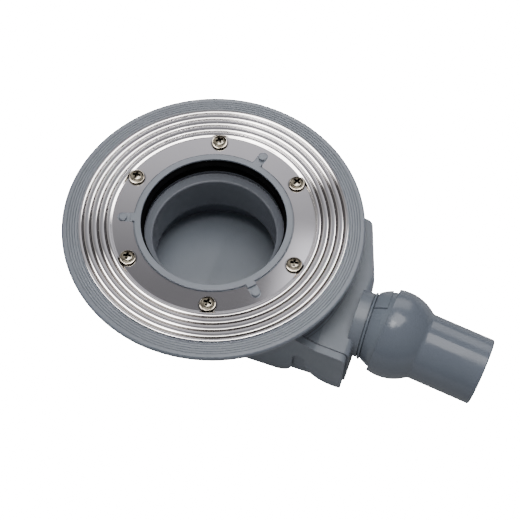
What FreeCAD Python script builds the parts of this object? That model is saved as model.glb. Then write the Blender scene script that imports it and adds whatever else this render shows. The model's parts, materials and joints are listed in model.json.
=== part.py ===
import FreeCAD, Part
import math
import os

# Low corner floor drain: a clamping flange over a hidden trap chamber, with a ball-jointed side outlet.
# Millimetres. The origin is the middle of the mouth, level with the collar and the flange rim.
# +Z points up out of the mouth, +X along the outlet neck.

# Flange and collar
flange_dia = 220.0
flange_thick = 4.0
rim_land = 3.4
rim_round = 1.4
dish_deep = 2.0
mouth_dia = 106.0
collar_wide = 4.4
collar_deep = 1.5
groove_count = 6
groove_pitch = 1.82
groove_wide = 0.6
groove_deep = 0.3

# Clamping ring, one pressed steel sheet, flat inside with round ridges outside
ring_flat = 15.3
ring_sheet = 1.0
wave_count = 5
wave_pitch = 5.4
wave_high = 1.5
wave_crest = 1.2
first_crest = 0.6

# Clamping screws, their threaded inserts and the bosses that hold them
screw_count = 6
screw_from_waves = 5.2
screw_phase = 46.9
screw_dia = 6.0
screw_long = 12.0
head_dia = 11.4
head_seat_dia = 9.8
head_high = 4.6
recess_wide = 1.7
recess_turn = 20.0
insert_dia = 8.6
insert_long = 8.0
boss_wall = 2.6

# Pegs and lugs that stand in the ring's notches
notch_count = 3
notch_wide = 7.4
notch_long = 12.0
notch_mouth_round = 1.8
lug_long = 3.0
peg_dia = 5.7

# Bowl under the mouth: seat of the lip seal, then the pocket for the inlet tube
seal_undercut = 2.2
seal_seat_deep = 13.5
seal_floor = 2.0
pocket_step = 0.6
pocket_deep = 5.0
ledge_wide = 3.2
skirt_long = 4.0
bowl_wall = 4.0
mouth_seal_lip = 1.8
mouth_seal_wall = 1.0

# Inlet tube, which drops into the pocket and dips into the water
tube_slack = 1.3
tube_wall = 2.2
tube_dip = 28.0
tube_rim_drop = 1.5
tube_rim_slope = 3.0
tube_nose = 1.2
tube_seal_section = 2.0

# Trap chamber
wall = 3.0
chamber_near = -55.0
chamber_far = 56.5
chamber_end = 122.3
chamber_bottom = -77.0
slope_from = 74.0
slope_to = 98.0
shoulder_level = -29.0
end_level = -32.0
end_round = 5.0
floor_round = 2.5
slant_from = 9.0
slant_to = 106.3
slant_round = 6.0
floor_crease = -3.0
floor_rise = 2.5
weir_at = 85.4
weir_level = -38.0
foot_high = 3.0
foot_dia = 10.0
foot_inset = 9.0

# Side cover that closes the chamber, with two feet and an arch between them
cover_thick = 6.0
cover_skin = 2.4
cover_short = 1.5
cover_from_bowl = 7.1
seam_wide = 0.6
seam_deep = 0.8
left_foot_round = 13.0
right_foot_long = 29.3
right_foot_flat = 0.8
arch_wide = 9.2
arch_level = -47.5
corner_round = 2.5
tongue_deep = 4.0
tongue_thick = 1.8

# Outlet neck, ball fitting and swivelling pipe
outlet_side = -22.0
outlet_level = -44.1
flow_dia = 39.0
neck_past_chamber = 3.6
hood_wall = 1.7
socket_dia = 44.0
socket_wall = 2.3
socket_deep = 7.0
bead_dia = 51.0
bead_wide = 1.8
bead_groove = 0.7
ball_dia = 60.6
ball_reach = 18.6
ball_past_centre = 14.0
ball_wall = 4.0
pad_high = 1.2
pad_long = 9.8
pad_from = -6.0
pad_to = 84.0
bell_wall = 2.2
bell_back = 7.9
bell_fillet = 4.0
pipe_dia = 50.0
pipe_wall = 3.0
pipe_long = 68.4
pipe_edge = 0.8
neck_seal_section = 1.6
swivel_seal_section = 2.0
swivel_seal_at = 7.8
swivel_tilt = 6.0
swivel_towards = 215.8

# Clearances
collar_gap = 0.8
seat_gap = 0.2
hole_gap = 0.3
lug_gap = 0.35
peg_gap = 1.4
tube_gap = 0.3
ball_gap = 0.35
bead_gap = 0.5
seal_gap = 0.1

# Worked out from the sizes above
flange_r = flange_dia / 2
dish_r = flange_r - rim_land
mouth_r = mouth_dia / 2
collar_r = mouth_r + collar_wide
ring_inner_r = collar_r + collar_gap
wave_r = ring_inner_r + ring_flat
screw_r = wave_r - screw_from_waves
notch_r = ring_inner_r + notch_long
ring_seat = -dish_deep
ring_top = ring_seat + ring_sheet
dish_slope = dish_deep / (dish_r - wave_r)
seal_r = mouth_r + seal_undercut
bowl_r = seal_r + bowl_wall
pocket_r = mouth_r - pocket_step
skirt_r = pocket_r - ledge_wide
tube_r = skirt_r - tube_slack
seal_bottom = -collar_deep - seal_seat_deep
chamber_top = seal_bottom - seal_floor
pocket_bottom = seal_bottom - pocket_deep
skirt_bottom = pocket_bottom - skirt_long
tube_bottom = skirt_bottom - tube_dip
chamber_half = (chamber_far - chamber_near) / 2
foot_level = chamber_bottom - foot_high
cover_front = chamber_near - cover_thick
cover_left = math.sqrt(max(bowl_r**2 - chamber_near**2, 0)) + cover_from_bowl
cover_right = chamber_end - cover_short
arch_right = cover_right - right_foot_long
arch_left = arch_right - arch_wide
right_foot_round = right_foot_long - corner_round - right_foot_flat
socket_r = socket_dia / 2
neck_r = socket_r + socket_wall
neck_end = chamber_end + neck_past_chamber
hood_back = neck_end - socket_deep - hood_wall
ball_r = ball_dia / 2
bell_inner_r = ball_r + ball_gap
bell_r = bell_inner_r + bell_wall
ball_x = neck_end + bead_gap + bead_wide + ball_reach


def vec(x, y, z):
    return FreeCAD.Vector(x, y, z)


def in_plan(x, y):
    return vec(x, y, 0)


def in_side(x, z):
    return vec(x, 0, z)


def outline(start, steps, place):
    """Closed face from a start point and steps: an end point, or a (through, end) pair for an arc."""
    edges = []
    here = place(*start)
    for step in steps + [start]:
        curved = isinstance(step[0], tuple)
        end = place(*step[1]) if curved else place(*step)
        if curved:
            edges.append(Part.Arc(here, place(*step[0]), end).toShape())
        elif here.distanceToPoint(end) > 1e-6:
            edges.append(Part.makeLine(here, end))
        here = end
    return Part.Face(Part.Wire(edges))


def turned(start, steps):
    """Solid of revolution about Z from (radius, height) points."""
    return outline(start, steps, in_side).revolve(vec(0, 0, 0), vec(0, 0, 1), 360)


def turned_x(start, steps, angle=360):
    """Solid of revolution about X from (place along X, radius) points."""
    return outline(start, steps, in_side).revolve(vec(0, 0, 0), vec(1, 0, 0), angle)


def on_outlet(shape, x):
    """Moves a shape made about the X axis to its place on the outlet axis."""
    shape.translate(vec(x, outlet_side, outlet_level))
    return shape


def outlet_rod(x0, x1, r):
    return on_outlet(Part.makeCylinder(r, x1 - x0, vec(0, 0, 0), vec(1, 0, 0)), x0)


def round_ring(radius, section, axis):
    return Part.makeTorus(radius, section / 2, vec(0, 0, 0), axis)


def around(shape, count, phase):
    """Copies of a shape, turned evenly about Z."""
    copies = []
    for i in range(count):
        copy = shape.copy()
        copy.rotate(vec(0, 0, 0), vec(0, 0, 1), phase + i * 360.0 / count)
        copies.append(copy)
    return copies


def fused(shapes):
    return shapes[0].multiFuse(shapes[1:]).removeSplitter()


def rounded(corners, place):
    """Closed face through corners (x, y, radius), each rounded by a tangent arc."""
    turns = []
    for before, (x, y, radius), after in zip(corners[-1:] + corners, corners, corners[1:] + corners[:1]):
        back, on = math.dist(before[:2], (x, y)), math.dist(after[:2], (x, y))
        ux, uy = (before[0] - x) / back, (before[1] - y) / back
        vx, vy = (after[0] - x) / on, (after[1] - y) / on
        half = math.acos(ux * vx + uy * vy) / 2
        reach = radius / math.tan(half)
        depth = (radius / math.sin(half) - radius) / (2 * math.cos(half))
        enter = (x + ux * reach, y + uy * reach)
        middle = (x + (ux + vx) * depth, y + (uy + vy) * depth)
        turns.append((enter, middle, (x + vx * reach, y + vy * reach)))
    steps = []
    for (enter, middle, leave), corner in zip(turns[1:] + turns[:1], corners[1:] + corners[:1]):
        steps += [enter, (middle, leave)] if corner[2] > 0 else [enter]
    return outline(turns[0][2], steps, place)


def inset(corners, depth):
    """Moves every side of an anticlockwise outline of (x, y, radius) corners inwards."""
    sides = []
    for (x0, y0, _), (x1, y1, _) in zip(corners, corners[1:] + corners[:1]):
        size = math.hypot(x1 - x0, y1 - y0)
        ux, uy = (x1 - x0) / size, (y1 - y0) / size
        sides.append((x0 - uy * depth, y0 + ux * depth, ux, uy))
    moved = []
    for (x0, y0, ux0, uy0), (x1, y1, ux1, uy1), (_, _, radius) in zip(sides[-1:] + sides, sides, corners):
        cross = ux0 * uy1 - uy0 * ux1
        along = ((x1 - x0) * uy1 - (y1 - y0) * ux1) / cross
        radius = max(radius - math.copysign(depth, cross), 0) if radius > 0 else 0
        moved.append((x0 + ux0 * along, y0 + uy0 * along, radius))
    return moved


def back_along(start, steps):
    """The same steps, taken from their end back to their start."""
    ends = [start] + [step[1] if isinstance(step[0], tuple) else step for step in steps]
    pairs = zip(steps[::-1], ends[-2::-1])
    return [(step[0], end) if isinstance(step[0], tuple) else end for step, end in pairs]


def side_slab(corners, y0, y1):
    """Plate with an outline seen from the side, from y0 to y1."""
    slab = rounded(corners, in_side).extrude(vec(0, y1 - y0, 0))
    slab.translate(vec(0, y0, 0))
    return slab


# Drain body

def flange_and_bowl():
    """Dished flange with its collar, and the stepped bowl under the mouth."""
    under = -flange_thick
    bulge = rim_round * (1 - math.sqrt(0.5))
    return turned(
        (mouth_r, 0),
        [
            (collar_r, 0),
            (collar_r, ring_seat),
            (wave_r, ring_seat),
            (dish_r, 0),
            (flange_r - rim_round, 0),
            ((flange_r - bulge, -bulge), (flange_r, -rim_round)),
            (flange_r, under + rim_round),
            ((flange_r - bulge, under + bulge), (flange_r - rim_round, under)),
            (dish_r, under),
            (wave_r, ring_seat + under),
            (bowl_r, ring_seat + under),
            (bowl_r, chamber_top),
            (pocket_r + bowl_wall, chamber_top),
            (pocket_r + bowl_wall, skirt_bottom),
            (skirt_r, skirt_bottom),
            (skirt_r, pocket_bottom),
            (pocket_r, pocket_bottom),
            (pocket_r, seal_bottom),
            (seal_r, seal_bottom),
            (seal_r, -collar_deep),
            (mouth_r, -collar_deep),
        ],
    )


def bowl_space():
    """Everything that stays open inside the bowl."""
    return turned(
        (0, 1),
        [
            (mouth_r, 1),
            (mouth_r, -collar_deep),
            (seal_r, -collar_deep),
            (seal_r, seal_bottom),
            (pocket_r, seal_bottom),
            (pocket_r, pocket_bottom),
            (skirt_r, pocket_bottom),
            (skirt_r, skirt_bottom - 1),
            (0, skirt_bottom - 1),
        ],
    )


def flange_grooves():
    """Fine V grooves that grip the membrane, near the rim."""
    grooves = []
    for i in range(groove_count):
        r = dish_r - groove_wide - i * groove_pitch
        z = (r - dish_r) * dish_slope
        lift = groove_wide / 2 * dish_slope
        corners = [(r, z - groove_deep), (r + groove_wide / 2, z + lift), (r, z + groove_wide)]
        grooves.append(turned((r - groove_wide / 2, z - lift), corners))
    return grooves


def notch_phase():
    """The notches sit midway between screws."""
    return screw_phase + 180.0 / screw_count


def pegs_and_lugs():
    """Pegs and lugs in the ring's notches, rooted half way down the flange plate."""
    root = ring_seat - flange_thick / 2
    half = notch_wide / 2 - lug_gap
    peg = Part.makeCylinder(peg_dia / 2, -root, vec(notch_r - peg_gap - peg_dia / 2, 0, root))
    inner = (seal_r + collar_r) / 2
    lug = Part.makeBox(collar_r + lug_long - inner, 2 * half, -root, vec(inner, -half, root))
    return around(peg, notch_count, notch_phase()) + around(lug, notch_count, notch_phase())


def screw_bosses():
    high = ring_seat - 1 - chamber_top
    boss = Part.makeCylinder(insert_dia / 2 + boss_wall, high, vec(screw_r, 0, chamber_top))
    return around(boss, screw_count, screw_phase)


def boss_holes():
    """Seat of each threaded insert, and the room for the screw's tip below it."""
    seat = Part.makeCylinder(insert_dia / 2, insert_long + 1, vec(screw_r, 0, ring_seat - insert_long))
    tip = ring_top - screw_long - 1
    room = Part.makeCylinder(screw_dia / 2 + hole_gap, ring_seat - tip, vec(screw_r, 0, tip))
    return around(seat.fuse(room), screw_count, screw_phase)


def upper_corners(left, right):
    """Top edge that the chamber and its cover share, from the outlet end to the left end."""
    return [
        (right, end_level, end_round),
        (slope_to, shoulder_level, end_round),
        (slope_from, chamber_top, end_round),
        (left, chamber_top, 0),
    ]


def chamber_shell(depth):
    """Chamber block shrunk by a wall depth: half round behind, one corner cut off at a slant."""
    plan = [
        (-chamber_half, chamber_near, chamber_half),
        (chamber_end, chamber_near, 0),
        (chamber_end, slant_from, slant_round),
        (slant_to, chamber_far, slant_round),
        (-chamber_half, chamber_far, chamber_half),
    ]
    low = [(-chamber_half - 1, chamber_bottom, 0), (chamber_end, chamber_bottom, floor_round)]
    side = low + upper_corners(-chamber_half - 1, chamber_end)
    upright = rounded(inset(plan, depth), in_plan).extrude(vec(0, 0, chamber_top - chamber_bottom))
    upright.translate(vec(0, 0, chamber_bottom))
    return upright.common(side_slab(inset(side, depth), chamber_near, chamber_far))


def floor_ramp():
    """The outlet half of the floor rises gently from a crease to the weir."""
    floor = chamber_bottom + wall
    end = weir_at + wall / 2
    rise = (end - floor_crease) * math.tan(math.radians(floor_rise))
    ramp = outline((floor_crease, floor), [(end, floor), (end, floor + rise)], in_side)
    ramp = ramp.extrude(vec(0, chamber_far - chamber_near, 0))
    ramp.translate(vec(0, chamber_near, 0))
    return ramp


def weir():
    """Wall across the chamber that keeps water round the foot of the inlet tube."""
    low = chamber_bottom + wall / 2
    near = chamber_near + seat_gap
    return Part.makeBox(wall, chamber_far - wall / 2 - near, weir_level - low, vec(weir_at, near, low))


def lid_opening():
    return inset(
        [(lid_left(), chamber_bottom, floor_round), (chamber_end, chamber_bottom, floor_round)]
        + upper_corners(lid_left(), chamber_end),
        wall,
    )


def lid_left():
    return cover_left + wall


def neck_outside():
    """Neck whose crest stands above the chamber's shoulder."""
    return outlet_rod(hood_back, neck_end, neck_r)


def neck_inside():
    """Flow below the shoulder through the chamber's end wall, then the socket for the ball's stub."""
    start = chamber_end - 2 * wall
    flow_r = flow_dia / 2
    flow = outlet_rod(start, neck_end, flow_r)
    corner = vec(start, outlet_side - flow_r, end_level - wall)
    roof = Part.makeBox(neck_end - start, flow_dia, flow_dia, corner)
    return flow.cut(roof).fuse(outlet_rod(neck_end - socket_deep, neck_end + 1, socket_r))


def body_feet():
    """Round feet moulded under the chamber, level with the feet of the side cover."""
    left = -chamber_half / 2
    far = chamber_far - foot_inset
    near = chamber_near + foot_inset
    places = [(left, near), (left, far), (slope_from / 2, far), (slope_to, far)]
    return [Part.makeCylinder(foot_dia / 2, foot_high + 1, vec(x, y, foot_level)) for x, y in places]


def drain_body():
    outside = [flange_and_bowl(), chamber_shell(0), neck_outside()]
    solid = fused(outside + screw_bosses() + body_feet())
    hollow = chamber_shell(wall).cut(floor_ramp()).cut(flange_and_bowl())
    opening = side_slab(lid_opening(), chamber_near - 1, chamber_near + wall + 1)
    cuts = [bowl_space(), hollow, opening, neck_inside()] + flange_grooves() + boss_holes()
    for cut in cuts:
        solid = solid.cut(cut)
    return fused([solid, weir()] + pegs_and_lugs())


# Side cover

def cover_outline():
    """Two feet with an arch between them, under the chamber's own top edge."""
    arch_round = arch_wide / 2 - 0.01
    return [
        (cover_left, foot_level, left_foot_round / 2),
        (arch_left, foot_level, left_foot_round),
        (arch_left, arch_level, arch_round),
        (arch_right, arch_level, arch_round),
        (arch_right, foot_level, right_foot_round),
        (cover_right, foot_level, corner_round),
    ] + upper_corners(cover_left, cover_right)


def side_cover():
    """Moulded cover: a skin with deep edges, a plate behind the arch and a tongue into the chamber."""
    back = chamber_near - seam_wide
    shell = side_slab(cover_outline(), cover_front, back)
    step = side_slab(inset(cover_outline(), seam_deep), back - 1, chamber_near)
    low = [(cover_left, chamber_bottom, 0), (cover_right, chamber_bottom, corner_round)]
    behind = low + upper_corners(cover_left, cover_right)
    plate = side_slab(behind, back - cover_skin, back)
    plate_step = side_slab(inset(behind, seam_deep), back - 1, chamber_near)
    inside = inset(lid_opening(), seat_gap)
    tongue = side_slab(inside, chamber_near - cover_skin, chamber_near + tongue_deep)
    solid = fused([shell, step, plate, plate_step, tongue])
    deep = chamber_near + tongue_deep + 1
    pocket = side_slab(inset(cover_outline(), cover_skin), cover_front + cover_skin, deep)
    pocket = pocket.common(side_slab(inset(inside, tongue_thick), cover_front, deep))
    behind_arch = side_slab(inset(inside, tongue_thick), chamber_near, deep)
    slot = wall + 2 * hole_gap
    corner = vec(weir_at - hole_gap, chamber_near, foot_level)
    weir_slot = Part.makeBox(slot, tongue_deep + 1, chamber_top - foot_level, corner)
    return solid.cut(pocket).cut(behind_arch).cut(weir_slot)


# Inlet and its seals

def inlet_tube():
    """Loose tube with a sloping rim that rests in the pocket. It dips into the water below."""
    rim_r = pocket_r - tube_gap
    rim_top = seal_bottom - tube_rim_drop
    bore = tube_r - tube_wall
    lip = rim_top - tube_rim_slope
    seal_at = (pocket_bottom + skirt_bottom) / 2
    half = tube_seal_section * 0.6
    floor_r = tube_r - tube_seal_section * 0.4
    bulge = tube_nose * (1 - math.sqrt(0.5))
    return turned(
        (bore, tube_bottom),
        [
            (bore, lip - tube_nose),
            ((bore + bulge, lip - bulge), (bore + tube_nose, lip)),
            (rim_r - tube_nose, rim_top),
            (rim_r, rim_top - tube_nose / 2),
            (rim_r, pocket_bottom),
            (tube_r, pocket_bottom),
            (tube_r, seal_at + half),
            (floor_r, seal_at + half),
            (floor_r, seal_at - half),
            (tube_r, seal_at - half),
            (tube_r, tube_bottom),
        ],
    )


def tube_seal():
    """Round ring in the tube's groove, against the skirt of the pocket."""
    inner = tube_r - tube_seal_section * 0.4 + seal_gap / 2
    outer = skirt_r - seal_gap / 2
    ring = round_ring((inner + outer) / 2, outer - inner, vec(0, 0, 1))
    ring.translate(vec(0, 0, (pocket_bottom + skirt_bottom) / 2))
    return ring


def mouth_seal():
    """Rubber lip seal under the collar, with two lips that lean down and inwards."""
    outer = seal_r - seal_gap
    inner = outer - mouth_seal_wall
    top = -collar_deep - seal_gap
    low = seal_bottom + seal_gap
    tip = mouth_r - mouth_seal_lip
    step = (top - low) / 2
    lips = []
    for i in range(2):
        root = top - i * step
        lips += [(inner, root - step * 0.15), (tip, root - step * 0.6)]
        lips += [(tip + mouth_seal_wall / 4, root - step * 0.8), (inner, root - step * 0.5)]
    return turned((outer, low), [(outer, top), (inner, top)] + lips + [(inner, low)])


# Clamping ring and screws

def wave_steps(side):
    """One surface of the waved sheet, from the flat outwards: side is 1 for the top and -1 below."""
    half = (wave_pitch - wave_crest) / 2
    bend = 2 * math.atan2(wave_high, half)
    bend_r = half / (2 * math.sin(bend))
    offset = side * ring_sheet / 2

    def point(x, radius, angle, level):
        r = x + radius * math.sin(angle)
        lift = (r - wave_r) * dish_slope + seat_gap * min((r - wave_r) / half, 1)
        return (r, ring_seat + ring_sheet / 2 + level + radius * math.cos(angle) + lift)

    def trough(x, angle):
        return point(x, offset - bend_r, -angle, bend_r)

    def crest(x, angle):
        return point(x, offset + bend_r, angle, wave_high - bend_r)

    steps = []
    x = wave_r
    for i in range(wave_count):
        last = i == wave_count - 1
        steps.append((trough(x, 0 if i else bend / 2), trough(x, bend)))
        x += half
        steps.append((crest(x, -bend / 2), crest(x, 0)))
        x += (wave_crest if i else first_crest) / (2 if last else 1)
        steps.append(crest(x, 0))
        if not last:
            steps.append((crest(x, bend / 2), crest(x, bend)))
            x += half
    return steps


def notch_outline():
    """Notch with a round end and rounded corners where it opens into the ring's middle."""
    half = notch_wide / 2
    turn_y = half + notch_mouth_round
    turn_x = math.sqrt((ring_inner_r + notch_mouth_round) ** 2 - turn_y**2)
    share = ring_inner_r / (ring_inner_r + notch_mouth_round)
    lean = math.atan2(turn_y, turn_x)
    halfway = lean / 2 + math.radians(225)
    bend_x = turn_x + notch_mouth_round * math.cos(halfway)
    bend_y = turn_y + notch_mouth_round * math.sin(halfway)
    touch_x, touch_y = turn_x * share, turn_y * share
    end = notch_r - half
    return outline(
        (touch_x - 1, -touch_y),
        [
            (touch_x, -touch_y),
            ((bend_x, -bend_y), (turn_x, -half)),
            (end, -half),
            ((notch_r, 0), (end, half)),
            (turn_x, half),
            ((bend_x, bend_y), (touch_x, touch_y)),
            (touch_x - 1, touch_y),
        ],
        in_plan,
    )


def clamp_ring():
    """Pressed sheet with round ridges, holes for the screws and notches for the pegs."""
    top, under = wave_steps(1), wave_steps(-1)
    down = back_along((wave_r, ring_seat), under)
    steps = [(wave_r, ring_top)] + top + [under[-1]] + down + [(ring_inner_r, ring_seat)]
    sheet = turned((ring_inner_r, ring_top), steps)
    low = ring_seat - 1
    high = ring_sheet + 2
    hole = Part.makeCylinder(screw_dia / 2 + hole_gap, high, vec(screw_r, 0, low))
    notch = notch_outline().extrude(vec(0, 0, high))
    notch.translate(vec(0, 0, low))
    for cut in around(hole, screw_count, screw_phase) + around(notch, notch_count, notch_phase()):
        sheet = sheet.cut(cut)
    return sheet


def clamp_screws():
    """Pan-head screws with a cross recess."""
    head_r, shank_r, tip = head_dia / 2, screw_dia / 2, ring_top - screw_long
    chamfer = shank_r * 0.2
    screw = turned(
        (0, tip),
        [
            (shank_r - chamfer, tip),
            (shank_r, tip + chamfer),
            (shank_r, ring_top),
            (head_seat_dia / 2, ring_top),
            ((head_r, ring_top + head_high * 0.35), (head_r * 0.82, ring_top + head_high * 0.77)),
            ((head_r * 0.45, ring_top + head_high * 0.96), (0, ring_top + head_high)),
        ],
    )
    arm, deep = head_r * 0.55, head_high * 0.55
    bar = Part.makeBox(arm, recess_wide, deep + 1, vec(0, -recess_wide / 2, ring_top + head_high - deep))
    for cut in around(bar, 4, recess_turn):
        screw = screw.cut(cut)
    screw.translate(vec(screw_r, 0, 0))
    return Part.makeCompound(around(screw, screw_count, screw_phase))


def screw_inserts():
    """Brass threaded inserts with a waist that the boss grips."""
    outer, bore = insert_dia / 2 - seal_gap / 2, screw_dia / 2 + seal_gap / 2
    low, high = ring_seat - insert_long, ring_seat - seal_gap
    third = (high - low) / 3
    waist = outer - (outer - bore) * 0.4
    insert = turned(
        (bore, low),
        [
            (outer, low),
            (outer, low + third),
            (waist, low + third),
            (waist, high - third),
            (outer, high - third),
            (outer, high),
            (bore, high),
        ],
    )
    insert.translate(vec(screw_r, 0, 0))
    return Part.makeCompound(around(insert, screw_count, screw_phase))


# Outlet fitting

def on_sphere(radius, x):
    """Point of a sphere's profile at a place along its axis."""
    return (x, math.sqrt(radius**2 - x**2))


def swivel_groove_floor():
    reach = bell_inner_r - seal_gap - swivel_seal_section / 2
    return on_sphere(reach, swivel_seal_at)[1] - swivel_seal_section / 2 - seal_gap


def neck_seal_at():
    return -ball_reach - bead_wide - socket_deep / 2


def outlet_ball():
    """Hollow ball on a stub that plugs into the neck, with a stop bead and a raised pad at its root."""
    stub_r, flow_r = socket_r - seal_gap, flow_dia / 2
    inside_r = ball_r - ball_wall
    bead_from = -ball_reach - bead_wide
    stub_from = bead_from - socket_deep
    edge = bead_wide / 2
    groove_half = neck_seal_section * 0.6
    groove_floor = stub_r - neck_seal_section * 0.7
    seal_half = swivel_seal_section * 0.6
    before, after = swivel_seal_at - seal_half, swivel_seal_at + seal_half
    floor = swivel_groove_floor()
    solid = turned_x(
        (stub_from, flow_r),
        [
            (stub_from, stub_r - edge),
            (stub_from + edge, stub_r),
            (neck_seal_at() - groove_half, stub_r),
            (neck_seal_at() - groove_half, groove_floor),
            (neck_seal_at() + groove_half, groove_floor),
            (neck_seal_at() + groove_half, stub_r),
            (bead_from, stub_r),
            (bead_from, bead_dia / 2 - edge),
            ((bead_from + edge, bead_dia / 2), (-ball_reach, bead_dia / 2 - edge)),
            (-ball_reach, on_sphere(ball_r, -ball_reach)[1] - bead_groove),
            on_sphere(ball_r, bead_groove - ball_reach),
            (on_sphere(ball_r, (before - ball_reach) / 2), on_sphere(ball_r, before)),
            (before, floor),
            (after, floor),
            on_sphere(ball_r, after),
            (on_sphere(ball_r, (after + ball_past_centre) / 2), on_sphere(ball_r, ball_past_centre)),
            on_sphere(inside_r, ball_past_centre),
            (on_sphere(inside_r, 0), (-math.sqrt(inside_r**2 - flow_r**2), flow_r)),
        ],
    )
    return on_outlet(fused([solid, ball_pad()]), ball_x)


def ball_pad():
    """Raised sector of the ball beside the bead, which stops the bell from tilting towards it."""
    start, end = bead_groove - ball_reach, pad_long - ball_reach
    middle = (start + end) / 2
    root_r, crown_r = ball_r - pad_high, ball_r + pad_high
    crown = [on_sphere(crown_r, start), (on_sphere(crown_r, middle), on_sphere(crown_r, end))]
    root = [on_sphere(root_r, end), (on_sphere(root_r, middle), on_sphere(root_r, start))]
    pad = turned_x(on_sphere(root_r, start), crown + root, pad_to - pad_from)
    pad.rotate(vec(0, 0, 0), vec(1, 0, 0), pad_from - 90)
    return pad


def neck_seal():
    """Round ring on the ball's stub, against the neck."""
    inner = socket_r - seal_gap - neck_seal_section * 0.7 + seal_gap / 2
    outer = socket_r - seal_gap / 2
    ring = round_ring((inner + outer) / 2, outer - inner, vec(1, 0, 0))
    return on_outlet(ring, ball_x + neck_seal_at())


def swivel_seal():
    """Round ring in the ball's groove, which the bell slides over."""
    radius = swivel_groove_floor() + seal_gap + swivel_seal_section / 2
    return on_outlet(round_ring(radius, swivel_seal_section, vec(1, 0, 0)), ball_x + swivel_seal_at)


def outlet_pipe():
    """Swivelling outlet: a bell that snaps over the ball and runs into a plain pipe end."""
    pipe_r = pipe_dia / 2
    bore_r = pipe_r - pipe_wall
    rim_out, rim_in = on_sphere(bell_r, -bell_back), on_sphere(bell_inner_r, -bell_back)
    bore_x = math.sqrt(bell_inner_r**2 - bore_r**2)
    # The fillet between bell and pipe touches both
    centre_r = pipe_r + bell_fillet
    centre_x = math.sqrt((bell_r + bell_fillet) ** 2 - centre_r**2)
    lean = math.atan2(centre_r, centre_x)
    leave = (bell_r * math.cos(lean), bell_r * math.sin(lean))
    halfway = lean + (math.pi / 2 - lean) / 2
    dip = (centre_x - bell_fillet * math.cos(halfway), centre_r - bell_fillet * math.sin(halfway))
    solid = turned_x(
        rim_in,
        [
            rim_out,
            (on_sphere(bell_r, 0), leave),
            (dip, (centre_x, pipe_r)),
            (pipe_long - pipe_edge, pipe_r),
            (pipe_long, pipe_r - pipe_edge),
            (pipe_long, bore_r),
            (bore_x, bore_r),
            (on_sphere(bell_inner_r, 0), rim_in),
        ],
    )
    angle = math.radians(swivel_towards)
    solid.rotate(vec(0, 0, 0), vec(0, -math.sin(angle), math.cos(angle)), swivel_tilt)
    return on_outlet(solid, ball_x)


pieces = [
    drain_body,
    side_cover,
    inlet_tube,
    tube_seal,
    mouth_seal,
    clamp_ring,
    clamp_screws,
    screw_inserts,
    outlet_ball,
    neck_seal,
    swivel_seal,
    outlet_pipe,
]

os.makedirs("parts", exist_ok=True)
for piece in pieces:
    shape = piece()
    shape.exportStep(os.path.join("parts", piece.__name__ + ".step"))
    volume = "volume %.0f" % shape.Volume
    print(piece.__name__, "solids", len(shape.Solids), "valid", shape.isValid(), volume)
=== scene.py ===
import json
import math

import bmesh
import bpy
from mathutils import Matrix, Vector


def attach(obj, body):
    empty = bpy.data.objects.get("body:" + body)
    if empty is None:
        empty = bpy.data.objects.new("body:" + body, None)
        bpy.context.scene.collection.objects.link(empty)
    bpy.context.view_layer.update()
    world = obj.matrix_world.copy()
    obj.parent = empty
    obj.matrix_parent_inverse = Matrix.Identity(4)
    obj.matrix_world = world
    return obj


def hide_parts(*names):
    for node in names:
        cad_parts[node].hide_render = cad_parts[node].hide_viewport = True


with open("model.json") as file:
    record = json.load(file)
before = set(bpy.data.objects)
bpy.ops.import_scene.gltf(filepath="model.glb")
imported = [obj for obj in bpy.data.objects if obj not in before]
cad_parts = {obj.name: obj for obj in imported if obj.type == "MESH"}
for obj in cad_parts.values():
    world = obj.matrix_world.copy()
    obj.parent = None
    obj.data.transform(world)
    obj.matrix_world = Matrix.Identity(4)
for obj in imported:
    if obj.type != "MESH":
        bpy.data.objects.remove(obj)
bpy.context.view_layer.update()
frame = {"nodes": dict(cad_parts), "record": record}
cadNodes = frame["nodes"]
print("frame in:", len(cadNodes), "CAD nodes")


# sizes that the ring, its screws and the painted shade on them share

screwCircle = {
    "count": 6,
    "radius": 0.0683,
    "phase": math.radians(46.9),
}
wavePitch = 0.0054    # from one ridge of the ring to the next


# node helpers: a step goes into a tree, and a node into the tree of a material or a lamp

def addStep(tree, kind, sockets=None, **settings):
    step = tree.nodes.new(kind)
    for key, value in settings.items():
        setattr(step, key, value)
    for key, value in (sockets or {}).items():
        wire(tree, step.inputs[key], value)
    return step


def wire(tree, socket, value):
    # a socket is linked, anything else is set on the socket
    if isinstance(value, bpy.types.NodeSocket):
        tree.links.new(value, socket)
    else:
        socket.default_value = value


def reckon(tree, operation, first, second=0.0):
    return addStep(tree, "ShaderNodeMath", {0: first, 1: second}, operation=operation).outputs[0]


def addNode(mat, kind, sockets=None, **settings):
    return addStep(mat.node_tree, kind, sockets, **settings)


def plug(mat, socket, value):
    wire(mat.node_tree, socket, value)


def figure(mat, operation, first, second=0.0):
    return reckon(mat.node_tree, operation, first, second)


# material helpers

def startMaterial(name):
    mat = bpy.data.materials.new(name)
    mat.use_nodes = True
    return mat, mat.node_tree.nodes["Principled BSDF"]


def spread(mat, source, low, high, fromLow=0.0, fromHigh=1.0):
    # maps a 0..1 texture to the range that a shader socket wants
    return addNode(mat, "ShaderNodeMapRange", {
        "Value": source, "From Min": fromLow, "From Max": fromHigh, "To Min": low, "To Max": high,
    }).outputs["Result"]


def blendColours(mat, factor, first, second):
    # a colour mix has its factor in 0, its colours in 6 and 7 and its result in 2
    return addNode(mat, "ShaderNodeMix", {0: factor, 6: first, 7: second}, data_type="RGBA").outputs[2]


def objectPlace(mat, scale=(1, 1, 1), turn=0.0):
    coords = addNode(mat, "ShaderNodeTexCoord").outputs["Object"]
    return addNode(mat, "ShaderNodeMapping",
                   {"Vector": coords, "Scale": scale, "Rotation": (0, 0, turn)}).outputs[0]


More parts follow.
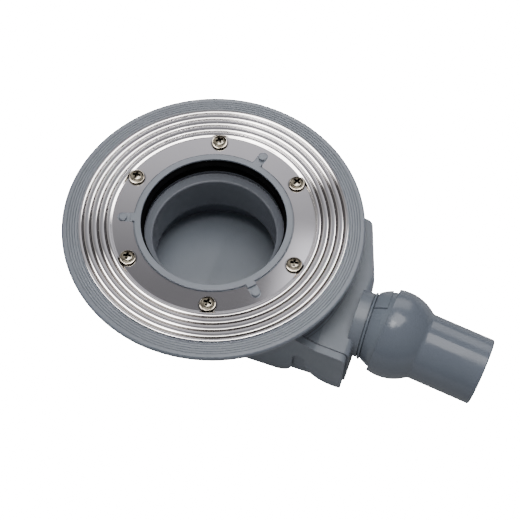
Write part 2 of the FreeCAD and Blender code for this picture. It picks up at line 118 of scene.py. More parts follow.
def noise(mat, place, scale, detail=3.0, rough=0.5):
    return addNode(mat, "ShaderNodeTexNoise",
                   {"Vector": place, "Scale": scale, "Detail": detail, "Roughness": rough}).outputs["Fac"]


def softEdges(mat, radius):
    # rounds the light on sharp moulded edges
    return addNode(mat, "ShaderNodeBevel", {"Radius": radius}, samples=6).outputs[0]


def axisRadius(mat):
    # distance from the drain's upright axis
    flat = objectPlace(mat, (1, 1, 0))
    return addNode(mat, "ShaderNodeVectorMath", {0: flat}, operation="LENGTH").outputs["Value"]


def ringLines(mat, radius, first, pitch):
    # 1 on each line of a pattern of rings, -1 halfway between two
    turns = figure(mat, "DIVIDE", figure(mat, "SUBTRACT", radius, first), pitch)
    return figure(mat, "COSINE", figure(mat, "MULTIPLY", turns, 2 * math.pi))


def skinBump(mat, shader, height, strength, depth, edge=None):
    # fine relief from one texture, over rounded edges where a radius is given
    sockets = {"Strength": strength, "Distance": depth, "Height": height}
    if edge:
        sockets["Normal"] = softEdges(mat, edge)
    plug(mat, shader.inputs["Normal"], addNode(mat, "ShaderNodeBump", sockets).outputs[0])


def opaque(colour, gain=1.0, lift=0.0):
    return tuple(min(c * gain + lift, 1) for c in colour) + (1,)


# materials

noiseMiddle = (0.3, 0.7)    # where most of a noise texture's values lie

plasticFinish = {
    "mottle": 14.0,        # slow colour drift across the moulding
    "mottleShare": 0.07,   # how far it drifts either way
    "grain": 2600.0,       # fine spark-eroded skin
    "grainDepth": 0.00003,
    "grainStrength": 0.5,
    "scuffs": 540.0,
    "scuffRun": (1.0, 0.12, 1.0),       # they are drawn out one way, at this turn
    "scuffTurn": 0.6,
    "scuffShow": (0.64, 0.8),
    "scuffCover": 0.16,    # how much of the pale dust of a scuff shows
    "dustGain": 1.5,
    "dustLift": 0.03,
    "polish": 60.0,        # patches that shine more, or less
    "polishRange": (-0.05, 0.07),
    "edgeRadius": 0.0005,
    "groove": 0.106,       # radius of the outermost flange groove, and the pitch inwards
    "groovePitch": 0.00182,
    "paintedGrooveShade": 0.42,
    "grooveShadeShow": (0.35, 0.8),          # heights of the painted shade's wave where it sets in and is full
    "grooveShadeTone": (0.05, 0.055, 0.065),
    "grooveShadeStart": (0.0972, 0.0974),    # radii over which the painted shade sets in, and over which it ends
    "grooveShadeEnd": (0.1066, 0.1069),
}


def paintedGrooveShade(mat, tint):
    # painted shade: darkens the moulded grooves of the flange
    finish = plasticFinish
    radius = axisRadius(mat)
    lines = ringLines(mat, radius, finish["groove"], finish["groovePitch"])
    deep = spread(mat, lines, 0.0, finish["paintedGrooveShade"], *finish["grooveShadeShow"])
    inside = spread(mat, radius, 1.0, 0.0, *finish["grooveShadeEnd"])
    outside = spread(mat, radius, 0.0, 1.0, *finish["grooveShadeStart"])
    where = figure(mat, "MULTIPLY", deep, figure(mat, "MULTIPLY", inside, outside))
    return blendColours(mat, where, tint, opaque(finish["grooveShadeTone"]))


def mouldedPlastic(name, colour, roughness=0.42, edge=None, grain=1.0, shadedGrooves=False):
    # grain: depth of the skin beside the body's own
    finish = plasticFinish
    mat, shader = startMaterial(name)
    place = objectPlace(mat)
    drift = noise(mat, place, finish["mottle"], 2.0)
    speck = noise(mat, place, finish["grain"], 2.0)
    scuff = noise(mat, objectPlace(mat, finish["scuffRun"], finish["scuffTurn"]), finish["scuffs"], 6.0, 0.7)
    uneven = noise(mat, place, finish["polish"], 4.0)
    tint = blendColours(mat, spread(mat, drift, 0, 1, *noiseMiddle),
                        opaque(colour, 1 - finish["mottleShare"]), opaque(colour, 1 + finish["mottleShare"]))
    tint = blendColours(mat, spread(mat, scuff, 0.0, finish["scuffCover"], *finish["scuffShow"]), tint,
                        opaque(colour, finish["dustGain"], finish["dustLift"]))
    # painted shade in the flange grooves
    if shadedGrooves:
        tint = paintedGrooveShade(mat, tint)
    plug(mat, shader.inputs["Base Color"], tint)
    low, high = (roughness + shift for shift in finish["polishRange"])
    plug(mat, shader.inputs["Roughness"], spread(mat, uneven, low, high, *noiseMiddle))
    skinBump(mat, shader, speck, finish["grainStrength"] * grain, finish["grainDepth"],
             edge or finish["edgeRadius"])
    return mat


steelFinish = {
    "colour": (0.87, 0.855, 0.875),
    "rollLines": 900.0,    # rolling marks run one way across the sheet
    "rollRun": (0.03, 1.0, 1.0),
    "rollTurn": 0.35,
    "rollDull": 0.008,
    "rollStrength": 0.01,
    "rollDepth": 0.00001,
    "scratches": 320.0,
    "scratchRun": (0.05, 1.0, 1.0),
    "scratchTurn": 1.3,
    "scratchShow": (0.62, 0.85),
    "scratchDull": 0.03,
    "cloud": 22.0,
    "cloudShare": 0.02,
    "roughness": 0.07,
    "trough": 0.078,       # radius of the painted shade line in the first trough
    "troughShade": 0.92,
    "troughShadeShow": (0.62, 0.9),          # heights of the painted shade's wave where it sets in and is full
    "troughShadeTone": (0.07, 0.062, 0.055),
    "troughShadeStart": (0.0745, 0.0755),    # radii over which the painted shade sets in
    "halo": 0.92,
    "haloTone": (0.03, 0.027, 0.024),
    "haloReach": (0.0057, 0.0072),     # from a screw's axis, where the painted shadow is full and where it is gone
}


def paintedTroughShade(mat, tint):
    # painted shade: dark lines along the pressed troughs, where shadow and dark reflections fall
    finish = steelFinish
    radius = axisRadius(mat)
    lines = ringLines(mat, radius, finish["trough"], wavePitch)
    deep = spread(mat, lines, 0.0, finish["troughShade"], *finish["troughShadeShow"])
    outside = spread(mat, radius, 0.0, 1.0, *finish["troughShadeStart"])
    return blendColours(mat, figure(mat, "MULTIPLY", deep, outside), tint, opaque(finish["troughShadeTone"]))


def paintedScrewShadow(mat, tint):
    # painted contact shadow on the sheet round each screw head
    split = addNode(mat, "ShaderNodeSeparateXYZ", {0: objectPlace(mat)}).outputs
    angle = figure(mat, "SUBTRACT", figure(mat, "ARCTAN2", split["Y"], split["X"]), screwCircle["phase"])
    share = 2 * math.pi / screwCircle["count"]
    turned = figure(mat, "FLOORED_MODULO", figure(mat, "ADD", angle, share / 2), share)
    nearest = figure(mat, "SUBTRACT", turned, share / 2)
    radius = axisRadius(mat)
    inLine = figure(mat, "MULTIPLY", radius, figure(mat, "COSINE", nearest))
    along = figure(mat, "SUBTRACT", inLine, screwCircle["radius"])
    across = figure(mat, "MULTIPLY", radius, figure(mat, "SINE", nearest))
    squares = (figure(mat, "MULTIPLY", way, way) for way in (along, across))
    gap = figure(mat, "SQRT", figure(mat, "ADD", *squares))
    near = spread(mat, gap, steelFinish["halo"], 0.0, *steelFinish["haloReach"])
    return blendColours(mat, near, tint, opaque(steelFinish["haloTone"]))


def rolledSteel(name):
    finish = steelFinish
    mat, shader = startMaterial(name)
    rolled = objectPlace(mat, finish["rollRun"], finish["rollTurn"])
    lines = noise(mat, rolled, finish["rollLines"], 3.0, 0.6)
    cloud = noise(mat, objectPlace(mat), finish["cloud"], 3.0)
    rubbed = objectPlace(mat, finish["scratchRun"], finish["scratchTurn"])
    scratches = noise(mat, rubbed, finish["scratches"], 8.0, 0.8)
    tint = blendColours(mat, spread(mat, cloud, 0, 1, 0.35, 0.65),
                        opaque(finish["colour"], 1 - finish["cloudShare"]),
                        opaque(finish["colour"], 1 + finish["cloudShare"]))
    # the colour carries painted shade in the troughs and a painted shadow round each screw
    plug(mat, shader.inputs["Base Color"], paintedScrewShadow(mat, paintedTroughShade(mat, tint)))
    shader.inputs["Metallic"].default_value = 1.0
    low, high = finish["roughness"] - finish["rollDull"], finish["roughness"] + finish["rollDull"]
    shine = spread(mat, lines, low, high, *noiseMiddle)
    dull = spread(mat, scratches, 0.0, finish["scratchDull"], *finish["scratchShow"])
    plug(mat, shader.inputs["Roughness"], figure(mat, "ADD", shine, dull))
    skinBump(mat, shader, lines, finish["rollStrength"], finish["rollDepth"])
    return mat


metalFinish = {
    "cloud": 240.0,        # stains of the plated screws and the turned brass
    "cloudShow": (0.42, 0.68),
    "polishRange": (-0.06, 0.12),
    "skin": 2400.0,
    "skinStrength": 0.3,
    "skinDepth": 0.00002,
    "cornerShadeShow": (0.5, 0.92),         # from open surface to deep corner
    "cornerShadeTone": (0.012, 0.011, 0.01),
}


def platedMetal(name, colour, roughness, stain, shadeReach=None):
    # shadeReach: reach of the painted shade in recesses and against the seat
    finish = metalFinish
    mat, shader = startMaterial(name)
    cloud = noise(mat, objectPlace(mat), finish["cloud"], 5.0, 0.6)
    fine = noise(mat, objectPlace(mat), finish["skin"], 2.0)
    tint = blendColours(mat, spread(mat, cloud, 0, 1, *finish["cloudShow"]), opaque(colour), opaque(stain))
    # painted shade: ambient occlusion darkens the cross recess and the rim against the sheet
    if shadeReach:
        shade = addNode(mat, "ShaderNodeAmbientOcclusion", {"Distance": shadeReach}, samples=8).outputs["AO"]
        tint = blendColours(mat, spread(mat, shade, 1.0, 0.0, *finish["cornerShadeShow"]), tint,
                            opaque(finish["cornerShadeTone"]))
    plug(mat, shader.inputs["Base Color"], tint)
    shader.inputs["Metallic"].default_value = 1.0
    low, high = (roughness + shift for shift in finish["polishRange"])
    plug(mat, shader.inputs["Roughness"], spread(mat, cloud, low, high, *noiseMiddle))
    skinBump(mat, shader, fine, finish["skinStrength"], finish["skinDepth"])
    return mat


rubberFinish = {
    "colour": (0.002, 0.002, 0.0025),
    "bloom": 55.0,         # pale film in patches
    "bloomTone": (0.006, 0.006, 0.0065),
    "bloomShow": (0.35, 0.75),
    "shine": 0.08,
    "roughness": (0.55, 0.72),
    "skin": 1800.0,
    "skinStrength": 0.35,
    "skinDepth": 0.00004,
    "edgeRadius": 0.0003,
}


def sealRubber(name):
    finish = rubberFinish
    mat, shader = startMaterial(name)
    place = objectPlace(mat)
    bloom = noise(mat, place, finish["bloom"], 4.0, 0.6)
    fine = noise(mat, place, finish["skin"], 3.0)
    tint = blendColours(mat, spread(mat, bloom, 0, 1, *finish["bloomShow"]),
                        opaque(finish["colour"]), opaque(finish["bloomTone"]))
    plug(mat, shader.inputs["Base Color"], tint)
    shader.inputs["Specular IOR Level"].default_value = finish["shine"]
    plug(mat, shader.inputs["Roughness"], spread(mat, bloom, *finish["roughness"], *noiseMiddle))
    skinBump(mat, shader, fine, finish["skinStrength"], finish["skinDepth"], finish["edgeRadius"])
    return mat


finishes = {
    "body_plastic": mouldedPlastic("greyMouldedBody", (0.18, 0.2, 0.234), 0.34, shadedGrooves=True),
    "cover_plastic": mouldedPlastic("greyMouldedCover", (0.215, 0.237, 0.27)),
    "tube_plastic": mouldedPlastic("greyMouldedTube", (0.172, 0.185, 0.212)),
    "ball_plastic": mouldedPlastic("greyBallPlastic", (0.172, 0.195, 0.23), 0.24, edge=0.0003, grain=0.4),
    "pipe_plastic": mouldedPlastic("greyPipePlastic", (0.15, 0.17, 0.205), 0.18, grain=0.25),
    "ring_steel": rolledSteel("rolledSteelSheet"),
    "screw_steel": platedMetal("nickelPlatedScrew", (0.5, 0.46, 0.38), 0.2, (0.3, 0.26, 0.2), 0.0019),
    "insert_brass": platedMetal("turnedBrass", (0.78, 0.6, 0.3), 0.3, (0.6, 0.43, 0.2)),
    "black_rubber": sealRubber("blackSealRubber"),
}

slotOf = {part["node"]: part["material_slot"] for part in frame["record"]["subparts"]}
for name, node in cadNodes.items():
    node.data.materials.clear()
    node.data.materials.append(finishes[slotOf[name]])
print("materials on:", len(finishes))


# geometry helpers

def startGroup(name, inputs):
    # inputs: name -> (kind, value); the first socket is always the geometry
    group = bpy.data.node_groups.new(name, "GeometryNodeTree")
    group.interface.new_socket("Geometry", in_out="INPUT", socket_type="NodeSocketGeometry")
    for label, (kind, value) in inputs.items():
        socket = group.interface.new_socket(label, in_out="INPUT", socket_type="NodeSocket" + kind)
        if value is not None:
            socket.default_value = value
    group.interface.new_socket("Geometry", in_out="OUTPUT", socket_type="NodeSocketGeometry")
    entry = group.nodes.new("NodeGroupInput")
    leave = group.nodes.new("NodeGroupOutput")
    return group, entry.outputs, leave.inputs["Geometry"]


def evenTurns(group, count, phase):
    # angle of the nth copy round the mouth
    share = reckon(group, "DIVIDE", 2 * math.pi, count)
    step = reckon(group, "MULTIPLY", addStep(group, "GeometryNodeInputIndex").outputs[0], share)
    return reckon(group, "ADD", step, phase)


def plainCopies(group, points, shape, turn):
    # one copy on each point, made real because the export drops instances
    placed = addStep(group, "GeometryNodeInstanceOnPoints",
                     {"Points": points, "Instance": shape, "Rotation": turn}).outputs[0]
    return addStep(group, "GeometryNodeRealizeInstances", {"Geometry": placed}).outputs[0]


def copiesRound(group, shape, count, phase):
    # copies of a shape that already stands at its radius, turned about Z
    points = addStep(group, "GeometryNodePoints", {"Count": count}).outputs[0]
    turn = addStep(group, "ShaderNodeCombineXYZ", {"Z": evenTurns(group, count, phase)}).outputs[0]
    return plainCopies(group, points, shape, turn)


def cutAway(group, solid, cutters):
    # the solid less every cutter
    cut = addStep(group, "GeometryNodeMeshBoolean", {"Mesh 1": solid}, operation="DIFFERENCE", solver="EXACT")
    for cutter in cutters:
        group.links.new(cutter, cut.inputs["Mesh 2"])
    return cut.outputs[0]


def dressAndLeave(group, shape, material, result):
    # the last step of each tree
    dressed = addStep(group, "GeometryNodeSetMaterial", {"Geometry": shape, "Material": material})
    group.links.new(dressed.outputs[0], result)
    return group


def runGroup(group, startMesh, values, name):
    # evaluates the group once on a start mesh and returns the plain result
    source = placeThing(startMesh, name + "Source")
    modifier = source.modifiers.new(name, "NODES")
    modifier.node_group = group
    for item in group.interface.items_tree:
        if item.item_type == "SOCKET" and item.in_out == "INPUT" and item.name in values:
            modifier[item.identifier] = values[item.name]
    bpy.context.view_layer.update()
    solved = source.evaluated_get(bpy.context.evaluated_depsgraph_get())
    mesh = bpy.data.meshes.new_from_object(solved)
    source.modifiers.remove(modifier)
    bpy.data.objects.remove(source)
    return mesh


def meshFrom(work, name):
    # writes a bmesh out with its faces turned outwards
    bmesh.ops.recalc_face_normals(work, faces=work.faces)
    mesh = bpy.data.meshes.new(name)
    work.to_mesh(mesh)
    work.free()
    return mesh


def placeThing(data, name):
    # a mesh, lamp or camera, stood in the scene
    thing = bpy.data.objects.new(name, data)
    bpy.context.collection.objects.link(thing)
    return thing


meshCare = {
    "mergeGap": 0.000002,
    "sliver": 0.000001,
}


def finishPiece(mesh, name, body, slot, node, sharpAngle):
    # merges doubles, turns faces outwards, shades by angle and hands the piece over
    work = bmesh.new()
    work.from_mesh(mesh)
    bmesh.ops.remove_doubles(work, verts=work.verts, dist=meshCare["mergeGap"])
    bmesh.ops.dissolve_degenerate(work, edges=work.edges, dist=meshCare["sliver"])
    bmesh.ops.recalc_face_normals(work, faces=work.faces)
    openEdges = sum(1 for edge in work.edges if len(edge.link_faces) != 2)
    work.to_mesh(mesh)
    work.free()
    mesh.shade_smooth()
    mesh.set_sharp_from_angle(angle=math.radians(sharpAngle))
    mesh.name = name
    piece = placeThing(mesh, name)
    mesh.materials.clear()
    mesh.materials.append(finishes[slot])
    mesh.polygons.foreach_set("material_index", [0] * len(mesh.polygons))
    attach(piece, body)
    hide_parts(node)
    print(name, "faces:", len(mesh.polygons), "open edges:", openEdges)


# clamping ring

clampRing = {
    "innerRadius": 0.0582,
    "flatWidth": 0.0153,
    "sheet": 0.001,
    "seat": -0.002,        # underside of the flat
    "waveCount": 5,
    "waveHeight": 0.0015,
    "crestFlat": 0.0012,
    "firstCrest": 0.0006,
    "dishSlope": 0.0604,   # the waved part rises outwards, as the flange does
    "lift": 0.0002,        # clear of the flange
    "innerLand": 0.0004,   # extra points on the flat, beside the inner edge and before the first wave
    "waveLand": 0.0003,
    "arcSteps": 7,
    "turnSteps": 300,
    "edgeRound": 0.00018,
    "sharpAngle": 40.0,
}

ringCuts = {
    "holeRadius": 0.0033,
    "holeSteps": 48,
    "notchCount": 3,
    "notchWide": 0.0074,
    "notchLong": 0.012,
    "mouthRound": 0.0018,
    "mouthOvercut": 0.001,
    "arcSteps": 8,
    "cutterHigh": 0.02,
}


def wavedLine(side):
    # one face of the pressed sheet from the inner edge outwards, as (radius, height)
    ring = clampRing
    waveStart = ring["innerRadius"] + ring["flatWidth"]
    half = (wavePitch - ring["crestFlat"]) / 2
    bend = 2 * math.atan2(ring["waveHeight"], half)
    bendRadius = half / (2 * math.sin(bend))
    offset = side * ring["sheet"] / 2
    middle = ring["seat"] + ring["sheet"] / 2

    def place(r, z):
        out = r - waveStart
        return (r, middle + z + out * ring["dishSlope"] + ring["lift"] * min(out / half, 1))

    def trough(x, angle):
        r = bendRadius - offset
        return place(x + r * math.sin(angle), bendRadius - r * math.cos(angle))

    def crest(x, angle):
        r = bendRadius + offset
        return place(x + r * math.sin(angle), ring["waveHeight"] - bendRadius + r * math.cos(angle))

    steps = ring["arcSteps"]
    flat = (ring["innerRadius"], ring["innerRadius"] + ring["innerLand"], waveStart - ring["waveLand"])
    line = [(r, middle + offset) for r in flat]
    x = waveStart
    for i in range(ring["waveCount"]):
        last = i == ring["waveCount"] - 1
        first = 0 if i == 0 else -steps + 1
        line += [trough(x, bend * k / steps) for k in range(first, steps + 1)]
        x += half
        line += [crest(x, -bend * k / steps) for k in range(steps - 1, -1, -1)]
        x += (ring["crestFlat"] if i else ring["firstCrest"]) / (2 if last else 1)
        line += [crest(x, bend * k / steps) for k in range(0, 1 if last else steps + 1)]
        x += half
    return line


def ringProfile():
    # closed section of the ring, with its four edges just broken
    top, under = wavedLine(1), wavedLine(-1)
    cut = clampRing["edgeRound"]

    def broken(edge, inner, after):
        toInner = (Vector(inner) - Vector(edge)).normalized() * cut
        toNext = (Vector(after) - Vector(edge)).normalized() * cut
        return [tuple(Vector(edge) + toInner), tuple(Vector(edge) + toNext)]

    loop = broken(top[0], under[0], top[1]) + top[1:-1] + broken(top[-1], top[-2], under[-1])
    loop += broken(under[-1], top[-1], under[-2]) + under[-2:0:-1] + broken(under[0], under[1], top[0])
    mesh = bpy.data.meshes.new("ringSection")
    edges = [(i, (i + 1) % len(loop)) for i in range(len(loop))]
    # the swept section hangs head down, so its heights are turned round here
    mesh.from_pydata([(r - clampRing["innerRadius"], -z, 0) for r, z in loop[::-1]], edges, [])
    return mesh


def closeSides(work, floor, roof):
    # walls between two rings of points, with a face at either end
    for i in range(len(floor)):
        j = (i + 1) % len(floor)
        work.faces.new((floor[i], floor[j], roof[j], roof[i]))
    work.faces.new(floor[::-1])
    work.faces.new(roof)


def prism(name, outline, high):
    # upright solid on a closed plan outline, half above the mouth's level and half below
    work = bmesh.new()
    floor = [work.verts.new((x, y, -high / 2)) for x, y in outline]
    roof = [work.verts.new((x, y, high / 2)) for x, y in outline]
    closeSides(work, floor, roof)
    return placeThing(meshFrom(work, name), name)


def notchOutline():
    # half of the notch from its mouth to its round end, then mirrored
    inner, half, turn = clampRing["innerRadius"], ringCuts["notchWide"] / 2, ringCuts["mouthRound"]
    end = inner + ringCuts["notchLong"] - half
    centre = Vector((math.sqrt((inner + turn) ** 2 - (half + turn) ** 2), half + turn))
    first = math.atan2(centre.y, centre.x) + math.pi
    steps = ringCuts["arcSteps"]
    line = [(end + half * math.cos(a), half * math.sin(a)) for a in
            (math.pi / 2 * k / (2 * steps) for k in range(2 * steps + 1))]
    for k in range(steps + 1):
        a = math.pi * 1.5 + (first - math.pi * 1.5) * k / steps
        line.append((centre.x + turn * math.cos(a), centre.y + turn * math.sin(a)))
    line.append((line[-1][0] - ringCuts["mouthOvercut"], line[-1][1]))
    return line + [(x, -y) for x, y in line[:0:-1]]


def ringGroup():
    # sweeps the section round the mouth, then cuts the screw holes and the notches
    group, given, result = startGroup("pressedRing", {
        "Inner Radius": ("Float", clampRing["innerRadius"]),
        "Turn Steps": ("Int", clampRing["turnSteps"]),
        "Screw Count": ("Int", screwCircle["count"]),
        "Screw Radius": ("Float", screwCircle["radius"]),
        "Screw Phase": ("Float", screwCircle["phase"]),
        "Hole Radius": ("Float", ringCuts["holeRadius"]),
        "Notch Count": ("Int", ringCuts["notchCount"]),
        "Notch": ("Object", None),
        "Material": ("Material", None),
    })
    section = addStep(group, "GeometryNodeMeshToCurve", {"Mesh": given["Geometry"]}).outputs[0]
    path = addStep(group, "GeometryNodeCurvePrimitiveCircle",
                   {"Resolution": given["Turn Steps"], "Radius": given["Inner Radius"]}).outputs[0]
    upright = addStep(group, "GeometryNodeSetCurveNormal", {"Curve": path}, mode="Z_UP").outputs[0]
    sheet = addStep(group, "GeometryNodeCurveToMesh", {"Curve": upright, "Profile Curve": section}).outputs[0]
    hole = addStep(group, "GeometryNodeMeshCylinder", {
        "Vertices": ringCuts["holeSteps"], "Radius": given["Hole Radius"], "Depth": ringCuts["cutterHigh"],
    }).outputs[0]
    outwards = addStep(group, "ShaderNodeCombineXYZ", {"X": given["Screw Radius"]}).outputs[0]
    hole = addStep(group, "GeometryNodeTransform", {"Geometry": hole, "Translation": outwards}).outputs[0]
    holes = copiesRound(group, hole, given["Screw Count"], given["Screw Phase"])
    notch = addStep(group, "GeometryNodeObjectInfo", {"Object": given["Notch"]}, transform_space="ORIGINAL")
    halfway = reckon(group, "DIVIDE", math.pi, given["Screw Count"])
    between = reckon(group, "ADD", given["Screw Phase"], halfway)
    notches = copiesRound(group, notch.outputs["Geometry"], given["Notch Count"], between)
    cut = cutAway(group, sheet, (holes, notches))
    return dressAndLeave(group, cut, given["Material"], result)


notchObject = prism("notchCutter", notchOutline(), ringCuts["cutterHigh"])
ringMesh = runGroup(ringGroup(), ringProfile(), {"Notch": notchObject, "Material": finishes["ring_steel"]},
                    "clampRing")
bpy.data.objects.remove(notchObject)
finishPiece(ringMesh, "clampRingPressed", "drain", "ring_steel", "clamp_ring", clampRing["sharpAngle"])


# clamp screws

panScrew = {
    "seat": -0.001,
    "headRadius": 0.0057,
    "seatRadius": 0.0049,
    "headHigh": 0.0046,
    "rimShare": 0.36,      # of the head's height, up to its widest line
    "rimSteps": 7,
    "crownSteps": 12,
    "crownPlan": 0.8,      # powers under 1 make the crown fuller than an oval
    "crownRise": 0.95,
    "shankRadius": 0.003,
    "long": 0.012,
    "pointLong": 0.0006,
    "pointShare": 0.75,    # of the shank, at the tip
    "plainShank": 0.0015,  # no thread on the point and under the head
    "threadPitch": 0.001,
    "threadDeep": 0.0003,
    "recessArm": 0.0031,
    "recessWide": 0.0019,
    "recessDeep": 0.0026,
    "recessFloor": 0.55,   # the cross's size at its floor and above the head
    "recessMouth": 1.12,
    "recessAbove": 0.0006,
    "turnSteps": 40,
    "sharpAngle": 32.0,
    "seed": 7,
}


def panHead():
    # section of the screw, from the tip up to the crown of the head
    screw = panScrew
    wide, seat, base = screw["headRadius"], screw["seatRadius"], screw["seat"]
    shank, core = screw["shankRadius"], screw["shankRadius"] - screw["threadDeep"]
    tip = base - screw["long"]
    first = tip + screw["pointLong"]
    line = [(0, tip), (shank * screw["pointShare"], tip), (core, first)]
    for i in range(int((screw["long"] - screw["plainShank"]) / screw["threadPitch"])):
        z = first + (i + 0.5) * screw["threadPitch"]
        line += [(shank, z), (core, z + screw["threadPitch"] / 2)]
    line += [(core, base), (seat, base)]
    # the rounded rim runs over into a flatter crown
    rim, crown = screw["headHigh"] * screw["rimShare"], screw["headHigh"] * (1 - screw["rimShare"])
    for k in range(1, screw["rimSteps"] + 1):
        share = k / screw["rimSteps"]
        line.append((seat + (wide - seat) * math.sin(share * math.pi / 2), base + rim * share))
    for k in range(1, screw["crownSteps"] + 1):
        a = math.pi / 2 * k / screw["crownSteps"]
        line.append((wide * math.cos(a) ** screw["crownPlan"],
                     base + rim + crown * math.sin(a) ** screw["crownRise"]))
    return line


def screwBlank():
    work = bmesh.new()
    verts = [work.verts.new((r, 0, z)) for r, z in panHead()]
    edges = [work.edges.new(pair) for pair in zip(verts, verts[1:])]
    bmesh.ops.spin(work, geom=verts + edges, cent=(0, 0, 0), axis=(0, 0, 1), angle=2 * math.pi,
                   steps=panScrew["turnSteps"], use_merge=True, use_duplicate=False)
    bmesh.ops.remove_doubles(work, verts=work.verts, dist=meshCare["sliver"])
    return meshFrom(work, "screwBlank")


def crossCutter():
    # tapered cross, narrower at its floor
    screw = panScrew
    work = bmesh.new()
    crown = screw["seat"] + screw["headHigh"]
    wide, arm = screw["recessWide"] / 2, screw["recessArm"]

    def cross(z, share):
        ring = []
        for k in range(4):
            turn = Matrix.Rotation(math.pi / 2 * k, 3, "Z")
            for along, across in ((wide, -wide), (arm, -wide), (arm, wide)):
                ring.append(work.verts.new(turn @ Vector((along * share, across * share, z))))
        return ring

    closeSides(work, cross(crown - screw["recessDeep"], screw["recessFloor"]),
               cross(crown + screw["recessAbove"], screw["recessMouth"]))
    bmesh.ops.triangulate(work, faces=[f for f in work.faces if len(f.verts) > 4])
    return placeThing(meshFrom(work, "crossCutter"), "crossCutter")


def screwGroup():
    # cuts the cross, then stands a screw in every hole, each stopped at its own turn
    group, given, result = startGroup("clampScrews", {
        "Cross": ("Object", None),
        "Count": ("Int", screwCircle["count"]),
        "Radius": ("Float", screwCircle["radius"]),
        "Phase": ("Float", screwCircle["phase"]),
        "Seed": ("Int", panScrew["seed"]),
        "Material": ("Material", None),
    })
    cross = addStep(group, "GeometryNodeObjectInfo", {"Object": given["Cross"]}, transform_space="ORIGINAL")
    cut = cutAway(group, given["Geometry"], (cross.outputs["Geometry"],))
    angle = evenTurns(group, given["Count"], given["Phase"])
    place = addStep(group, "ShaderNodeCombineXYZ", {
        "X": reckon(group, "MULTIPLY", given["Radius"], reckon(group, "COSINE", angle)),
        "Y": reckon(group, "MULTIPLY", given["Radius"], reckon(group, "SINE", angle)),
    }).outputs[0]
    points = addStep(group, "GeometryNodePoints", {"Count": given["Count"], "Position": place}).outputs[0]
    stop = addStep(group, "FunctionNodeRandomValue", {"Seed": given["Seed"]}, data_type="FLOAT")
    stop.inputs[3].default_value = math.pi / 2    # the upper limit; the lower one stays 0
    twist = addStep(group, "ShaderNodeCombineXYZ", {"Z": stop.outputs[1]}).outputs[0]
    return dressAndLeave(group, plainCopies(group, points, cut, twist), given["Material"], result)


crossObject = crossCutter()
screwMesh = runGroup(screwGroup(), screwBlank(), {"Cross": crossObject, "Material": finishes["screw_steel"]},
                     "clampScrews")
bpy.data.objects.remove(crossObject)
finishPiece(screwMesh, "clampScrewSet", "drain", "screw_steel", "clamp_screws", panScrew["sharpAngle"])


# floor, light and camera

studio = {
    "floorSize": 8.0,
    "floorLevel": -0.0802,
    "floorTone": 0.34,
    "floorGrain": 30.0,
    "floorGrainGain": 1.02,
    "floorRoughness": 0.9,
    "paperGlow": 22.0,      # the paper is lit to white for the camera, as in a cut-out picture
    "paperShine": 0.12,     # and lies pale in what is polished
    "worldTone": (0.88, 0.92, 1.0),
    "worldStrength": 0.2,
    "cardFade": 0.22,       # share of a card's width over which its light dies away
}

# name: (elevation, azimuth, distance, width, height, radiance, what it lights, tone)
softboxes = {
    "keyBox": (76.0, 62.0, 1.6, 0.85, 0.85, 4.6, "offSheet", "white"),
    "zenithBox": (85.0, 240.0, 1.6, 0.4, 0.4, 9.0, "offSheet", "white"),
    "fillBox": (73.0, 100.0, 2.0, 2.0, 2.0, 1.15, "matt", "white"),
    "rightFill": (52.0, 15.0, 2.0, 1.4, 1.4, 0.4, "matt", "white"),
    "frontFill": (30.0, 262.0, 2.0, 1.3, 1.3, 0.55, "matt", "white"),
    "farSheen": (46.0, 109.0, 2.2, 0.9, 0.5, 10.0, "drain", "white"),
    "nearSheen": (68.0, 110.0, 2.2, 0.8, 0.5, 3.0, "drain", "white"),
    "pipeSheen": (28.0, 108.0, 2.2, 3.0, 1.4, 2.2, "pipe", "white"),
    "backFill": (22.0, 235.0, 2.4, 2.4, 1.4, 0.5, "matt", "white"),
    "screwSky": (62.0, 120.0, 2.0, 3.2, 2.4, 0.4, "screws", "warm"),
    "screwLow": (35.0, 275.0, 2.0, 3.4, 1.8, 0.9, "screws", "warm"),
    "screwSide": (28.0, 10.0, 2.0, 3.2, 1.6, 0.45, "screws", "warm"),
    "screwFar": (28.0, 175.0, 2.0, 3.2, 1.6, 0.3, "screws", "warm"),
    "farCard": (26.0, 101.0, 2.2, 7.0, 3.5, 0.58, "sheet", "cool"),
    "gapCard": (25.0, 178.0, 2.2, 3.2, 3.0, 0.3, "sheet", "warm"),
    "leftCard": (33.0, 226.0, 2.2, 3.4, 3.8, 10.0, "sheet", "warm"),
    "nearCard": (20.0, 286.0, 2.2, 3.6, 2.1, 9.0, "sheet", "warm"),
    "rightCard": (22.0, 1.0, 2.2, 5.6, 2.4, 10.0, "sheet", "warm"),
    "crownCard": (71.0, 180.0, 2.2, 0.9, 0.9, 5.0, "sheet", "warm"),
    "upperCard": (64.0, 115.0, 2.2, 3.0, 1.6, 0.18, "sheet", "cool"),
    "zenithCard": (84.0, 320.0, 2.2, 1.8, 1.5, 0.5, "sheet", "cool"),
    "slopeCard": (64.0, 92.0, 2.2, 0.5, 0.4, 1.0, "sheet", "cool"),
}

lampTones = {
    "white": (1.0, 1.0, 1.0),
    "warm": (1.0, 0.965, 0.915),
    "cool": (0.97, 0.955, 1.0),
}

# the piece that each group of lamps shines on; offSheet lamps shine on all but theirs, and matt lamps on
# everything, without a reflection
litPieces = {
    "sheet": "clampRingPressed",
    "screws": "clampScrewSet",
    "drain": "drain_body",
    "pipe": "outlet_pipe",
    "offSheet": "clampRingPressed",
}

cameraSetup = {
    "distance": 0.8199,    # from the middle of the mouth
    "elevation": 58.874,
    "aroundZ": 23.0,
    "yaw": -2.2369,
    "pitch": 2.1345,
    "roll": -2.7761,
    "lens": 78.29,
    "sensor": 36.0,
    "nearest": 0.01,
    "farthest": 50.0,
}


